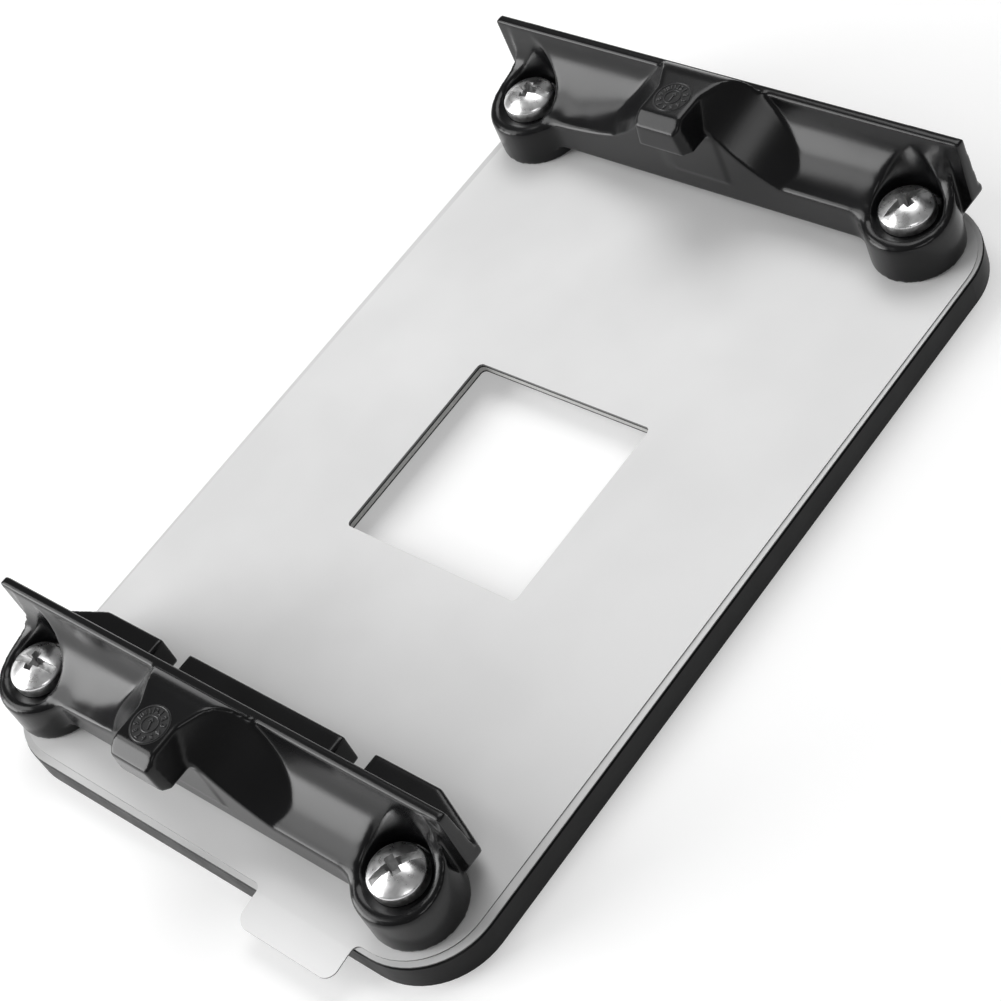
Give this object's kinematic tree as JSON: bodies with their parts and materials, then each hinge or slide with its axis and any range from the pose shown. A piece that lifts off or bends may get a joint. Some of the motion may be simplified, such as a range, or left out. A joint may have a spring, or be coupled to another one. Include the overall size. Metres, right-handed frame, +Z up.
{
  "type": "cooler backplate",
  "caption": "Flat steel backplate with a square window and a peel-off film, and raised plastic clip brackets screwed on along its short edges.",
  "frame": {"origin": "middle of the four screws, on the underside of the base plate", "axes": "+X along the brackets, +Y from the front bracket to the rear one, +Z up, out of the film side"},
  "size_m": [0.0674, 0.1103, 0.0199],
  "materials": {
    "black_steel": "satin black paint",
    "pad_film": "light grey insulating film",
    "liner_film": "satin silver-grey release liner",
    "black_plastic": "glossy moulded black",
    "standoff_steel": "turned steel",
    "screw_plating": "bright nickel plating"
  },
  "bodies": {
    "root": {"base_plate": "black_steel", "insulator_pad": "pad_film", "release_liner": "liner_film", "front_bracket": "black_plastic", "rear_bracket": "black_plastic", "standoff_front_left": "standoff_steel", "standoff_front_right": "standoff_steel", "standoff_rear_left": "standoff_steel", "standoff_rear_right": "standoff_steel", "screw_front_left": "screw_plating", "screw_front_right": "screw_plating", "screw_rear_left": "screw_plating", "screw_rear_right": "screw_plating"}
  },
  "joints": []
}
